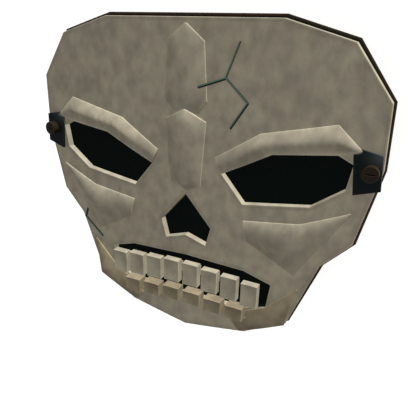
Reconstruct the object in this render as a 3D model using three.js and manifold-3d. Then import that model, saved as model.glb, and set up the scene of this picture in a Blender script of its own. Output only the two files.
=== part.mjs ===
// A skull mask for the theatre, lying face up on its rear rim.
// Millimetres. X runs to the viewer's right, Y to the top of the mask, Z out of the face.
// The tables below use the face's own zero: the top of the nose hole, on the front of the shell.
import * as THREE from "three";
import { mergeVertices } from "three/addons/utils/BufferGeometryUtils.js";
import Module from "manifold-3d";

const wasm = await Module();
wasm.setup();

// Driving dimensions
const HALF_WIDTH = 105; // centre line to the temple corner
const BOW = 5.4; // how far the temple corner lies behind the centre line
const SHELL_THICKNESS = 4;
const GAP = 0.3; // clearance between neighbouring pieces
const PLATE_THICKNESS = 2; // black backing plate
const BAND_EDGE = 1.2; // thickness of the rim band beside the plate
const BAND_SHELF = 2.8; // thickness of the rim band where it carries the plate
const RIM_THICKNESS = 2.4; // thickness of the rim band at its rear edge
const RIM_TAPER = 4.5; // how far the band leans in between the plate and the rear edge
const BACK_DEPTH = 42; // front of the shell to the rear rim, on the centre line
const WINDOW_MARGIN = 3; // how far the eye windows in the plate pass the eye holes
const SCRIM_THICKNESS = 1;
const SCRIM_SETBACK = 0.4; // scrim behind the front of the plate
const BOW_STEP = 13.5; // width of the flat strips that make up the bowed faces
const BOW_STRIPS = 9; // strips on each side of the centre line, past the widest point

// Levels from the front of the shell, which all follow the bow
const PLATE_FRONT = -SHELL_THICKNESS - GAP;
const PLATE_BACK = PLATE_FRONT - PLATE_THICKNESS;
const SCRIM_FRONT = PLATE_FRONT - SCRIM_SETBACK;
const CLEAR_ABOVE = 30; // well in front of everything
const CLEAR_BELOW = -90; // well behind everything
const SLAB_LENGTH = 260; // longer than the mask is tall

// Teeth, lugs, screws and cracks
const UPPER_TOOTH = { back: 2, front: 6.6, height: 14.8, postWidth: 5.5, postTop: 4.6, postHeight: 6.5 };
const LOWER_TOOTH = { front: 6.5, height: 8.5 };
const LUG_TOP = 1.8;
const SCREW = { x: 100.5, y: 27.6, radius: 4.15, height: 4.1, sunk: 0.6, chamfer: 0.6, sides: 24 };
const SLOT = { length: 4.6, width: 0.8, depth: 0.9, tilt: -1 };
const CRACK = { width: 0.8, top: 1 };

// A short table: one object for each row, with the columns as its keys.
function table(columns, rows) {
  return rows.map((row) => Object.fromEntries(columns.map((name, i) => [name, row[i]])));
}

// Right half of the outline, from the top down, and how far the rim band shows past it
const OUTLINE = table(
  ["x", "y", "ledge"],
  [
    [51.8, 96.0, 2.0], // end of the straight top edge
    [85.6, 86.5, 2.0],
    [105.0, 60.6, 1.4], // temple corner
    [106.0, 28.0, 1.1],
    [96.8, -13.4, 1.4],
    [81.8, -29.0, 1.4], // notch under the cheekbone
    [66.6, -70.6, 1.0], // jaw corner
    [41.0, -84.5, 1.0],
    [0, -91.5, 1.0], // chin
  ],
);

// Right eye hole, from the inner corner round the bottom
const EYE = table(
  ["x", "y"],
  [
    [22.3, 16.1],
    [35.9, -0.1],
    [72.8, 4.6],
    [89.5, 16.4],
    [91.7, 29.9],
    [79.5, 36.0],
    [52.0, 33.4],
  ],
);

// Right half of the nose hole and of the mouth, from the top down
const NOSE = table(
  ["x", "y"],
  [
    [0, 0],
    [16.6, -19.2],
    [13.5, -30.9],
    [0, -26.5],
  ],
);
const MOUTH = table(
  ["x", "y"],
  [
    [0, -40.2],
    [38.6, -42.0],
    [55.5, -47.4],
    [53.5, -62.8],
    [36.0, -68.2],
    [0, -68.5],
  ],
);

// Raised plates on the right side, from the middle of the face out.
// A row is a section across the plate: its upper edge, crest and lower edge.
// The third number of each is its height above the shell.
const BROW = table(
  ["upper", "crest", "lower"],
  [
    [[18.5, 24.4, 0.9], [20.0, 20.8, 1.9], [22.6, 15.6, 1.4]],
    [[43.6, 40.6, 0.9], [46.6, 36.8, 5.6], [52.1, 31.3, 4.4]],
    [[82.4, 49.0, 0.9], [83.3, 42.4, 4.2], [84.6, 34.3, 2.0]],
    [[94.9, 37.5, 1.1], [94.6, 36.9, 1.4], [94.1, 36.5, 1.1]],
  ],
);
const CHEEKBONE = table(
  ["upper", "crest", "lower"],
  [
    [[36.6, -9.9, 0.9], [37.5, -14.0, 2.2], [39.6, -22.6, 0.8]],
    [[68.5, -6.1, 0.9], [67.8, -14.2, 5.2], [67.9, -37.8, 0.8]],
    [[94.2, 4.6, 0.9], [93.8, 4.0, 1.2], [93.5, 3.4, 0.9]],
  ],
);
const JAW_PLATE = table(
  ["upper", "crest", "lower"],
  [
    [[31.7, -77.3, 0.8], [34.6, -80.8, 1.4], [38.4, -84.6, 0.8]],
    [[41.5, -68.5, 0.9], [47.4, -73.6, 3.2], [52.6, -77.8, 1.4]],
    [[53.5, -62.8, 0.9], [60.6, -66.4, 4.2], [66.4, -70.2, 3.0]],
    [[70.9, -45.6, 1.0], [71.3, -46.4, 1.2], [71.1, -47.2, 1.0]],
  ],
);

// Ridges on the centre line, from the top down: half width, and height at the edge and on the crest
const FOREHEAD_RIDGE = table(
  ["y", "half", "edge", "crest"],
  [
    [93.0, 0.7, 0.9, 1.0],
    [84.5, 11.2, 0.9, 3.6],
    [54.4, 13.1, 0.9, 4.0],
    [47.1, 7.6, 0.8, 1.4],
  ],
);
const NOSE_RIDGE = table(
  ["y", "half", "edge", "crest"],
  [
    [49.3, 0.7, 2.6, 2.8],
    [43.3, 12.9, 0.9, 5.4],
    [6.4, 9.9, 0.9, 3.8],
    [1.9, 0.7, 0.6, 0.7],
  ],
);

// Right half of each row of teeth, from the middle out
const UPPER_TEETH = table(
  ["inner", "outer", "top"],
  [
    [1.4, 11.7, -42.7],
    [14.2, 24.5, -43.8],
    [27.1, 37.4, -44.8],
    [40.2, 50.3, -46.1],
  ],
);
const LOWER_TEETH = table(
  ["inner", "outer", "top"],
  [
    [1.7, 13.1, -62.5],
    [16.2, 27.5, -63.6],
    [30.8, 41.6, -64.2],
  ],
);

// Right strap lug
const LUG = table(
  ["x", "y"],
  [
    [90.8, 39.1],
    [93.4, 15.0],
    [106.2, 18.6],
    [104.9, 36.3],
  ],
);

// Crack bars: the ends of each, and the height of the bar at its far end
const FOREHEAD_CRACK = table(
  ["from", "to", "top"],
  [
    [[30.4, 84.7], [23.5, 67.3], CRACK.top],
    [[23.5, 67.3], [36.0, 55.6], CRACK.top],
    [[36.0, 55.6], [27.0, 42.0], CRACK.top],
    [[23.5, 67.3], [8.8, 62.2], 3.2],
  ],
);
const CHEEK_CRACK = table(
  ["from", "to", "top"],
  [
    [[-77.4, -25.5], [-79.6, -31.1], CRACK.top],
    [[-79.6, -31.1], [-65.6, -42.4], CRACK.top],
  ],
);

// Materials
const finish = (color, roughness, metalness = 0) => () =>
  new THREE.MeshStandardMaterial({ color, roughness, metalness });
const boneResin = finish(0xb4ac98, 0.75);
const agedResin = finish(0x8c7d66, 0.75);
const blackBoard = finish(0x101413, 0.8);
const scrimCloth = finish(0x0a0c0c, 0.95);
const brownLeather = finish(0x3e3428, 0.65);
const blackSteel = finish(0x1a1d1f, 0.45, 0.6);
const brownSteel = finish(0x3a281a, 0.45, 0.6);
const crackGreen = finish(0x2f4a3f, 0.6);

// The bow of the face: its depth at x, and a height that follows it or not
const bowAt = (x) => -BOW * (x / HALF_WIDTH) ** 2;
const bowed = (level) => (x) => bowAt(x) + level;
const flat = (level) => () => level;

// Closed outlines, anticlockwise seen from the front
const points = (rows) => rows.map((row) => new THREE.Vector2(row.x, row.y));
const mirrored = (outline) => outline.map((p) => new THREE.Vector2(-p.x, p.y)).reverse();
function bothHalves(rightRows) {
  const right = points(rightRows).reverse();
  const left = mirrored(right).filter((p) => p.x !== 0);
  return right.concat(left);
}

// Adds points so that no edge spans more than one strip of the bow.
function subdivided(outline) {
  return outline.flatMap((p, i) => {
    const q = outline[(i + 1) % outline.length];
    const count = Math.max(1, Math.ceil(Math.abs(q.x - p.x) / BOW_STEP));
    return Array.from({ length: count }, (_, k) => p.clone().lerp(q, k / count));
  });
}

// Moves an outline outwards: by one distance, or by a distance for each point.
function grown(outline, distance) {
  const count = outline.length;
  return outline.map((p, i) => {
    const before = p.clone().sub(outline[(i + count - 1) % count]).normalize();
    const after = outline[(i + 1) % count].clone().sub(p).normalize();
    const side = new THREE.Vector2(before.y + after.y, -before.x - after.x).normalize();
    const reach = side.x * after.y - side.y * after.x;
    const move = Array.isArray(distance) ? distance[i] : distance;
    return p.clone().addScaledVector(side, move / reach);
  });
}

// A solid from a three.js geometry, and back again
function solidOf(geometry) {
  const bare = geometry.clone();
  bare.deleteAttribute("normal");
  bare.deleteAttribute("uv");
  const merged = mergeVertices(bare, 1e-4);
  const vertProperties = merged.getAttribute("position").array;
  const triVerts = new Uint32Array(merged.index.array);
  return new wasm.Manifold(new wasm.Mesh({ numProp: 3, vertProperties, triVerts }));
}
function geometryOf(solid) {
  const mesh = solid.getMesh();
  const geometry = new THREE.BufferGeometry();
  geometry.setAttribute("position", new THREE.BufferAttribute(mesh.vertProperties, mesh.numProp));
  geometry.setIndex(new THREE.BufferAttribute(mesh.triVerts, 1));
  return geometry;
}

// A closed body through rings of equal length, from the rear ring to the front one
function loft(rings) {
  const count = rings[0].length;
  const last = (rings.length - 1) * count;
  const index = [];
  for (let k = 0; k + 1 < rings.length; k++) {
    for (let i = 0; i < count; i++) {
      const next = (i + 1) % count;
      const [a, b] = [k * count + i, k * count + next];
      index.push(a, b, b + count, a, b + count, a + count);
    }
  }
  const cap = (ring) => THREE.ShapeUtils.triangulateShape(ring, []);
  cap(rings[0]).forEach(([a, b, c]) => index.push(a, c, b));
  cap(rings.at(-1)).forEach(([a, b, c]) => index.push(last + a, last + b, last + c));
  const geometry = new THREE.BufferGeometry().setFromPoints(rings.flat());
  geometry.setIndex(index);
  return solidOf(geometry);
}
function ring(outline, offset, height) {
  return grown(outline, offset).map((p) => new THREE.Vector3(p.x, p.y, height(p.x)));
}
function prism(outline) {
  return loft([ring(outline, 0, flat(CLEAR_BELOW)), ring(outline, 0, flat(CLEAR_ABOVE))]);
}

// The space between two levels of the bowed face
function bowSlab(low, high) {
  const xs = Array.from({ length: 2 * BOW_STRIPS + 1 }, (_, i) => (i - BOW_STRIPS) * BOW_STEP);
  const rear = xs.map((x) => new THREE.Vector2(x, bowAt(x) + low));
  const front = xs.map((x) => new THREE.Vector2(x, bowAt(x) + high)).reverse();
  const section = new THREE.Shape(rear.concat(front));
  const geometry = new THREE.ExtrudeGeometry(section, { depth: SLAB_LENGTH, bevelEnabled: false });
  geometry.rotateX(Math.PI / 2);
  geometry.translate(0, SLAB_LENGTH / 2, 0);
  return solidOf(geometry);
}
const aboveShell = bowSlab(GAP, CLEAR_ABOVE);

// A plate with a shaped top, from a grid of points whose z is a height above the shell
function raisedPlate(grid) {
  const [rows, columns] = [grid.length, grid[0].length];
  const top = grid.flat().map(([x, y, height]) => new THREE.Vector3(x, y, bowAt(x) + height));
  const under = top.map((p) => new THREE.Vector3(p.x, p.y, bowAt(p.x) - SHELL_THICKNESS));
  const at = (i, j) => i * columns + j;
  const edge = [];
  for (let i = 0; i + 1 < rows; i++) edge.push(at(i, 0));
  for (let j = 0; j + 1 < columns; j++) edge.push(at(rows - 1, j));
  for (let i = rows - 1; i > 0; i--) edge.push(at(i, columns - 1));
  for (let j = columns - 1; j > 0; j--) edge.push(at(0, j));
  const index = [];
  const square = (a, b, c, d) => index.push(a, b, c, a, c, d);
  for (let i = 0; i + 1 < rows; i++) {
    for (let j = 0; j + 1 < columns; j++) {
      const [a, b, c, d] = [at(i, j), at(i + 1, j), at(i + 1, j + 1), at(i, j + 1)];
      square(a, b, c, d);
      square(top.length + d, top.length + c, top.length + b, top.length + a);
    }
  }
  edge.forEach((a, i) => {
    const b = edge[(i + 1) % edge.length];
    square(top.length + a, top.length + b, b, a);
  });
  const geometry = new THREE.BufferGeometry().setFromPoints(top.concat(under));
  geometry.setIndex(index);
  return solidOf(geometry).intersect(aboveShell);
}

// The grids of the raised plates, and the outline that a grid covers
const sideGrid = (rows) => rows.map((row) => [row.lower, row.crest, row.upper]);
const otherSide = (grid) => grid.map((row) => row.map(([x, y, h]) => [-x, y, h])).reverse();
const ridgeGrid = (rows) =>
  rows.map(({ y, half, edge, crest }) => [[-half, y, edge], [0, y, crest], [half, y, edge]]);
function gridOutline(grid) {
  const first = grid.map((row) => row[0]);
  const end = grid.at(-1).slice(1, -1);
  const last = grid.map((row) => row.at(-1)).reverse();
  const start = grid[0].slice(1, -1).reverse();
  return [...first, ...end, ...last, ...start].map(([x, y]) => new THREE.Vector2(x, y));
}

// A box between two corners
function block(low, high) {
  const size = high.map((value, i) => value - low[i]);
  const geometry = new THREE.BoxGeometry(...size);
  geometry.translate(...low.map((value, i) => value + size[i] / 2));
  return solidOf(geometry);
}

// A bar from point to point on the shell, with its width and the heights of its two ends
function bar([x0, y0], [x1, y1], width, top0, top1) {
  const along = new THREE.Vector2(x1 - x0, y1 - y0).normalize();
  const across = new THREE.Vector2(-along.y, along.x).multiplyScalar(width / 2);
  const past = along.multiplyScalar(width / 2);
  const [ax, ay, bx, by] = [x0 - past.x, y0 - past.y, x1 + past.x, y1 + past.y];
  const foot = [
    new THREE.Vector3(ax - across.x, ay - across.y, bowAt(ax) + top0),
    new THREE.Vector3(bx - across.x, by - across.y, bowAt(bx) + top1),
    new THREE.Vector3(bx + across.x, by + across.y, bowAt(bx) + top1),
    new THREE.Vector3(ax + across.x, ay + across.y, bowAt(ax) + top0),
  ];
  const rear = foot.map((p) => new THREE.Vector3(p.x, p.y, p.z - SHELL_THICKNESS));
  return loft([rear, foot]).intersect(aboveShell);
}
function crack(rows, clearance) {
  const bars = rows.map((row) => {
    const width = CRACK.width + 2 * clearance;
    return bar(row.from, row.to, width, CRACK.top + clearance, row.top + clearance);
  });
  return bars.reduce((whole, next) => whole.add(next));
}

const mask = new THREE.Group();
const onFace = new THREE.Group();
mask.add(onFace);
function place(name, solid, material) {
  const mesh = new THREE.Mesh(geometryOf(solid), material());
  mesh.name = name;
  onFace.add(mesh);
  return mesh;
}
const SIDES = [
  { side: "left", flip: true },
  { side: "right", flip: false },
];

// The shell, with its holes
const outline = bothHalves(OUTLINE);
const eyeRight = points(EYE);
const eyes = [mirrored(eyeRight), eyeRight];
const holes = [...eyes, bothHalves(NOSE), bothHalves(MOUTH)];
const shellBlank = prism(outline).intersect(bowSlab(-SHELL_THICKNESS, 0));
place("shell", holes.reduce((left, hole) => left.subtract(prism(hole)), shellBlank), boneResin);

// The rim band: an outer wall that leans in to the rear rim, cut by the seat of the plate and by the hollow
const ledgeAt = outline.map((p) => OUTLINE.find((row) => row.y === p.y).ledge);
const bandOutline = subdivided(grown(outline, ledgeAt));
const bandBlank = loft([
  ring(bandOutline, -RIM_TAPER, flat(-BACK_DEPTH)),
  ring(bandOutline, 0, bowed(PLATE_FRONT + BAND_EDGE)),
  ring(bandOutline, 0, flat(CLEAR_ABOVE)),
]).intersect(bowSlab(CLEAR_BELOW, PLATE_FRONT));
const seat = prism(grown(bandOutline, -BAND_EDGE)).intersect(bowSlab(PLATE_BACK - GAP, CLEAR_ABOVE));
const hollow = loft([
  ring(bandOutline, -RIM_TAPER - RIM_THICKNESS, flat(CLEAR_BELOW)),
  ring(bandOutline, -RIM_TAPER - RIM_THICKNESS, flat(-BACK_DEPTH)),
  ring(bandOutline, -BAND_SHELF, bowed(PLATE_BACK)),
  ring(bandOutline, -BAND_SHELF, flat(CLEAR_ABOVE)),
]);
place("rim_band", bandBlank.subtract(seat).subtract(hollow), brownLeather);

// The black backing plate in its seat, and the scrims in its eye windows
const plateBlank = prism(grown(bandOutline, -BAND_EDGE - GAP)).intersect(bowSlab(PLATE_BACK, PLATE_FRONT));
const windows = eyes.map((eye) => prism(grown(eye, WINDOW_MARGIN)));
place("backing", windows.reduce((left, cut) => left.subtract(cut), plateBlank), blackBoard);
const scrimLayer = bowSlab(SCRIM_FRONT - SCRIM_THICKNESS, SCRIM_FRONT);
SIDES.forEach(({ side }, i) => {
  const panel = prism(grown(eyes[i], WINDOW_MARGIN - GAP));
  place("eye_scrim_" + side, panel.intersect(scrimLayer), scrimCloth);
});

// The centre ridges: the forehead ridge makes room for the nose ridge and for the crack that runs into it
const noseGrid = ridgeGrid(NOSE_RIDGE);
const noseRoom = prism(grown(gridOutline(noseGrid), GAP));
const foreheadBlank = raisedPlate(ridgeGrid(FOREHEAD_RIDGE));
const crackRoom = crack(FOREHEAD_CRACK, GAP);
place("forehead_ridge", foreheadBlank.subtract(noseRoom).subtract(crackRoom), boneResin);
place("nose_ridge", raisedPlate(noseGrid), boneResin);

// The lower teeth stand on the lip below the mouth, and the jaw plates run in under the outer ones.
const toothSpan = ({ inner, outer }, flip) => (flip ? [-outer, -inner] : [inner, outer]);
const wholeRow = (rows) => [
  ...rows.map((row) => ({ row, flip: true })).reverse(),
  ...rows.map((row) => ({ row, flip: false })),
];
function lowerTooth(row, flip, clearance) {
  const [x0, x1] = toothSpan(row, flip);
  const low = [x0 - clearance, row.top - LOWER_TOOTH.height - clearance, -SHELL_THICKNESS];
  const high = [x1 + clearance, row.top + clearance, LOWER_TOOTH.front + clearance];
  return block(low, high).intersect(aboveShell);
}
wholeRow(LOWER_TEETH).forEach(({ row, flip }, i) => {
  place("lower_tooth_" + (i + 1), lowerTooth(row, flip, 0), agedResin);
});

// Where a screw stands: square to the bowed shell, on the floor of its counterbore in the lug
function screwSeat(flip) {
  const x = flip ? -SCREW.x : SCREW.x;
  const lean = Math.atan((2 * BOW * x) / HALF_WIDTH ** 2);
  const turn = new THREE.Euler(0, lean, THREE.MathUtils.degToRad(SLOT.tilt));
  const seat = new THREE.Matrix4().makeRotationFromEuler(turn);
  return seat.setPosition(x, SCREW.y, bowAt(x) + LUG_TOP - SCREW.sunk);
}
function counterbore(flip) {
  const radius = SCREW.radius + GAP;
  const drum = new THREE.CylinderGeometry(radius, radius, CLEAR_ABOVE, SCREW.sides).rotateX(Math.PI / 2);
  drum.translate(0, 0, CLEAR_ABOVE / 2);
  return solidOf(drum.applyMatrix4(screwSeat(flip)));
}

// The raised plates of each side, and the lug, which makes room for the end of the brow and for the screw
SIDES.forEach(({ side, flip }) => {
  const grid = (rows) => (flip ? otherSide(sideGrid(rows)) : sideGrid(rows));
  place("brow_" + side, raisedPlate(grid(BROW)), boneResin);
  place("cheekbone_" + side, raisedPlate(grid(CHEEKBONE)), boneResin);
  const toothRoom = lowerTooth(LOWER_TEETH.at(-1), flip, GAP);
  place("jaw_plate_" + side, raisedPlate(grid(JAW_PLATE)).subtract(toothRoom), agedResin);
  const lugOutline = flip ? mirrored(points(LUG)) : points(LUG);
  const browRoom = prism(grown(gridOutline(grid(BROW)), GAP));
  const lug = prism(lugOutline).intersect(bowSlab(GAP, LUG_TOP)).subtract(browRoom);
  place("strap_lug_" + side, lug.subtract(counterbore(flip)), blackSteel);
});

// The upper teeth hang in the mouth, each on a root post that reaches back to the plate.
const abovePlate = bowSlab(PLATE_FRONT + GAP, CLEAR_ABOVE);
wholeRow(UPPER_TEETH).forEach(({ row, flip }, i) => {
  const { back, front, height, postWidth, postTop, postHeight } = UPPER_TOOTH;
  const [x0, x1] = toothSpan(row, flip);
  const middle = (x0 + x1) / 2;
  const crown = block([x0, row.top - height, back], [x1, row.top, front]);
  const postLow = [middle - postWidth / 2, row.top - postTop - postHeight, 2 * PLATE_FRONT];
  const postHigh = [middle + postWidth / 2, row.top - postTop, (back + front) / 2];
  const post = block(postLow, postHigh).intersect(abovePlate);
  place("upper_tooth_" + (i + 1), crown.add(post), boneResin);
});

// The screws: turned heads with a blind slot
SIDES.forEach(({ side, flip }) => {
  const { radius, height, chamfer, sides } = SCREW;
  const profile = [
    [0, 0],
    [radius, 0],
    [radius, height - chamfer],
    [radius - chamfer, height],
    [0, height],
  ].map(([r, z]) => new THREE.Vector2(r, z));
  const turned = new THREE.LatheGeometry(profile, sides).rotateX(Math.PI / 2);
  const half = [SLOT.length / 2, SLOT.width / 2];
  const slot = block([-half[0], -half[1], height - SLOT.depth], [half[0], half[1], height + 1]);
  const mesh = place("lug_screw_" + side, solidOf(turned).subtract(slot), brownSteel);
  mesh.applyMatrix4(screwSeat(flip));
  mesh.translateZ(GAP);
});

// The crack lines
place("crack_forehead", crack(FOREHEAD_CRACK, 0), crackGreen);
place("crack_cheek", crack(CHEEK_CRACK, 0), crackGreen);

// The origin lies under the middle of the outline, on the plane of the rear rim.
const heights = bandOutline.map((p) => p.y);
onFace.position.set(0, -(Math.max(...heights) + Math.min(...heights)) / 2, BACK_DEPTH);

export default mask;
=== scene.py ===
# %% [markdown]
# # A skull mask for the theatre
# The mask is a bowed front of cast resin, painted like old bone, on a black plate and a leather
# rim. It lies face up. The frame holds its solids at their real size. This lesson dresses them:
# each piece is made again with rounded edges and smooth relief, in the place that the frame gives,
# and each finish is made from nodes.

# %% Load the frame
import math

import bpy
import numpy as np
from mathutils import Matrix, Vector, noise
from mathutils.geometry import delaunay_2d_cdt


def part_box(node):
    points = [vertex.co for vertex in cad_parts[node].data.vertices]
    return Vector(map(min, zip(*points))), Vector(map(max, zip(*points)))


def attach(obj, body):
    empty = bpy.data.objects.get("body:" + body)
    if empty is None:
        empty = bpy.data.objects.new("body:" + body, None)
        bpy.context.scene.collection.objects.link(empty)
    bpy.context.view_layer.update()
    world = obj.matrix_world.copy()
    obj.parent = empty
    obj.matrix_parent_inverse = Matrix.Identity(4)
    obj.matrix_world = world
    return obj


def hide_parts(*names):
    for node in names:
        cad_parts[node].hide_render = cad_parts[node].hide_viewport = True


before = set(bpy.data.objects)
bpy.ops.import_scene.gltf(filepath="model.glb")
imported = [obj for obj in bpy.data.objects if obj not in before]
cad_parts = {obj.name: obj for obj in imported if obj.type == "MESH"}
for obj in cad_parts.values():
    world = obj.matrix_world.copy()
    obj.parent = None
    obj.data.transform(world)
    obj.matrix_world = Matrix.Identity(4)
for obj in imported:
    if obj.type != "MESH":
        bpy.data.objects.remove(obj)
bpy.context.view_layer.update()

MM = 0.001
print("nodes in the frame:", len(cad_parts))

# %% [markdown]
# ## The face's own measures
# A mask maker draws on the front of the shell, in millimetres: x to the viewer's right, y up, and z
# out of the face, with zero at the top of the nose hole. The shell's box says where that zero lies
# in the frame, so nothing has to be fitted by eye.

# %% Where the face lies in the frame
HALF_WIDTH = 105  # centre line to the temple corner
BOW = 5.4  # how far the temple corner lies behind the centre line
TOP_EDGE = 96  # height of the shell's top edge above the zero

shell_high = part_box("shell")[1]
face_zero = Vector((0, shell_high.y - TOP_EDGE * MM, shell_high.z))


def bow(x):
    """Depth of the bowed face at x."""
    return -BOW * (x / HALF_WIDTH) ** 2


print("zero of the face, in mm:", [round(c / MM, 3) for c in face_zero])

# %% [markdown]
# ## The camera
# The picture was taken from close by, above the mask's right temple, which is why the right side
# looks so much larger. A camera is a place and three directions: its right, its up and its back.
# Writing them as a matrix is exact, where tracking a target would leave the roll to chance.

# %% Camera
CAMERA_PLACE = Vector((0.120485, 0.088485, 0.261161))
CAMERA_RIGHT = Vector((0.8989, 0.0226, -0.4375))
CAMERA_BACK = Vector((0.3979, 0.3758, 0.8370))
FOCAL_PIXELS = 451.1
PICTURE_PIXELS = 420
SENSOR = 36.0

back = CAMERA_BACK.normalized()
up = back.cross(CAMERA_RIGHT).normalized()
right = up.cross(back)
lens = bpy.data.cameras.new("camera")
lens.sensor_width = SENSOR
lens.lens = SENSOR * FOCAL_PIXELS / PICTURE_PIXELS
lens.clip_start = 0.01
camera = bpy.data.objects.new("camera", lens)
camera.matrix_world = Matrix((right, up, back)).transposed().to_4x4()
camera.location = CAMERA_PLACE
bpy.context.scene.collection.objects.link(camera)
bpy.context.scene.camera = camera
print("lens in mm:", round(lens.lens, 2))

# %% [markdown]
# ## Light
# A strong low light from the mask's upper right brings out the relief: it only skims the front, and
# falls full on the walls that face it. A weaker one from the lower left keeps the far slopes from
# going black. Both are shadowless suns, so the mask is lit evenly and the low light draws no long
# shadows. Both are polarised and the camera's filter is crossed against them, as painters' works are
# photographed, so they give no glare. The pale sky fills in softly, and it alone shades corners.

# %% Lights and sky
KEY_DIRECTION = Vector((1.47, 3.02, 0.475))
KEY_STRENGTH = 10.6
FILL_DIRECTION = Vector((-0.62, -1.0, 0.21))
FILL_STRENGTH = 3.6
SKY_STRENGTH = 0.33
SUN_WIDTH = math.radians(12)


def sun(name, toward, strength):
    """A soft shadowless sun that stands in the given direction."""
    lamp = bpy.data.lights.new(name, "SUN")
    lamp.energy = strength
    lamp.angle = SUN_WIDTH
    lamp.use_shadow = False
    holder = bpy.data.objects.new(name, lamp)
    holder.rotation_mode = "QUATERNION"
    holder.rotation_quaternion = toward.to_track_quat("Z", "Y")
    holder.visible_glossy = False
    bpy.context.scene.collection.objects.link(holder)


sun("key_light", KEY_DIRECTION, KEY_STRENGTH)
sun("fill_light", FILL_DIRECTION, FILL_STRENGTH)
sky = bpy.data.worlds.new("sky")
sky.use_nodes = True
sky.node_tree.nodes["Background"].inputs["Color"].default_value = (1, 1, 1, 1)
sky.node_tree.nodes["Background"].inputs["Strength"].default_value = SKY_STRENGTH
bpy.context.scene.world = sky
bpy.context.scene.view_settings.view_transform = "Standard"

# %% [markdown]
# ## Helpers for finishes
# Colours are noted as a paint shop notes them, as hex values, and Blender reckons in linear light,
# so one function turns the one into the other. Another adds a node: what is a value is set, and
# what is a socket is linked. The finishes are all made from a few things, so each of those has a
# function too: spots of a real size, a mix of two colours, a value that the mesh carries, a bump.

# %% Colour and node helpers
MIX_A, MIX_B, MIX_RESULT = 6, 7, 2  # the colour sockets of a Mix node


def colour(code):
    """Linear colour of an sRGB hex value."""
    shares = [int(code[i : i + 2], 16) / 255 for i in (1, 3, 5)]
    linear = [s / 12.92 if s <= 0.04045 else ((s + 0.055) / 1.055) ** 2.4 for s in shares]
    return (*linear, 1)


def add(tree, kind, inputs, **settings):
    """Adds a node. Its inputs are plain values, or sockets to link."""
    made = tree.nodes.new("ShaderNode" + kind)
    for name, value in settings.items():
        setattr(made, name, value)
    for name, value in inputs.items():
        if isinstance(value, bpy.types.NodeSocket):
            tree.links.new(value, made.inputs[name])
        else:
            made.inputs[name].default_value = value
    return made


def new_material(name, **sockets):
    """A material with its Principled shader's sockets set, its node tree and that shader."""
    material = bpy.data.materials.new(name)
    material.use_nodes = True
    shader = material.node_tree.nodes["Principled BSDF"]
    for socket, value in sockets.items():
        shader.inputs[socket.replace("_", " ")].default_value = value
    return material, material.node_tree, shader


def speckle(tree, size_mm, detail, roughness=0.5):
    """A noise of spots of a size in mm: one number, or one for each axis."""
    sizes = size_mm if isinstance(size_mm, Vector) else [size_mm] * 3
    place = add(tree, "TexCoord", {}).outputs["Object"]
    scaled = add(tree, "VectorMath", {0: place, 1: [1 / (s * MM) for s in sizes]}, operation="MULTIPLY")
    inputs = {"Vector": scaled.outputs[0], "Scale": 1.0, "Detail": detail, "Roughness": roughness}
    return add(tree, "TexNoise", inputs).outputs["Fac"]


def mixed(tree, share, first, second, blend="MIX"):
    """A mix of two colours, each a hex value or a socket."""
    ends = [colour(end) if isinstance(end, str) else end for end in (first, second)]
    inputs = {0: share, MIX_A: ends[0], MIX_B: ends[1]}
    return add(tree, "Mix", inputs, data_type="RGBA", blend_type=blend).outputs[MIX_RESULT]


def carried(tree, name):
    """The value that a mesh carries under a name."""
    return add(tree, "Attribute", {}, attribute_name=name).outputs["Fac"]


def bumped(tree, shader, height, strength, depth_mm):
    """Raises a pattern on the surface."""
    raised = add(tree, "Bump", {"Height": height, "Strength": strength, "Distance": depth_mm * MM})
    tree.links.new(raised.outputs["Normal"], shader.inputs["Normal"])


print("linear value of mid grey:", round(colour("#808080")[0], 3))

# %% [markdown]
# ## Floor
# The mask lies on a light table: a sheet of white matte acrylic, wide enough to run out of every view
# and lit a little from below, which keeps the ground white beside the bright walls. The sheet has
# only a faint cloudiness in it.

# %% Light table
FLOOR_SIZE = 12.0
CLOUDINESS_MM = 40
TABLE_GLOW = 0.2

floor_mesh = bpy.data.meshes.new("floor")
half = FLOOR_SIZE / 2
corners = [(-half, -half, 0), (half, -half, 0), (half, half, 0), (-half, half, 0)]
floor_mesh.from_pydata(corners, [], [(0, 1, 2, 3)])
floor = bpy.data.objects.new("floor", floor_mesh)
bpy.context.scene.collection.objects.link(floor)
acrylic, tree, shader = new_material(
    "white_matte_acrylic", Roughness=0.9, Specular_IOR_Level=0.1, Emission_Strength=TABLE_GLOW
)
tone = mixed(tree, speckle(tree, CLOUDINESS_MM, 2.0), "#f5f5f4", "#f9f9f8")
for socket in ("Base Color", "Emission Color"):
    tree.links.new(tone, shader.inputs[socket])
floor_mesh.materials.append(acrylic)
print("floor in m:", FLOOR_SIZE)

# %% [markdown]
# ## Bone paint on cast resin
# The shell is cast in polyurethane resin and painted with matte acrylic: a grey-brown bone colour,
# stippled with a damp sponge. To the eye that is soft upright blotches a few millimetres wide that
# drift a little between brown and green, a fine grain, a paler line where the paint has rubbed off
# the edges, and a thin brown line of painted shade along the holes. Black painted shade can go over
# the paint where the mesh asks for it. Rubbing and the painted shade line depend on how far a spot
# lies from an edge, so the meshes carry them as attributes, and the nodes only mix colours. The
# brown teeth and jaw take the same paint with other colours, so one function makes both.

# %% Painted resin
BLOTCH_MM = Vector((6.5, 9.0, 7.0))
CLOUD_MM = 38
TINT_MM = 10
GRAIN_MM = 0.9
RESIN_IOR = 1.5
CLOUD_SHARE, GRAIN_SHARE = 0.35, 0.12  # how much clouds and grain add to the blotches
GREENISH = "#fbfffd"
# black for painted shade, in the mouth and on the cracks
SHADE_BLACK = "#060908"


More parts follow.
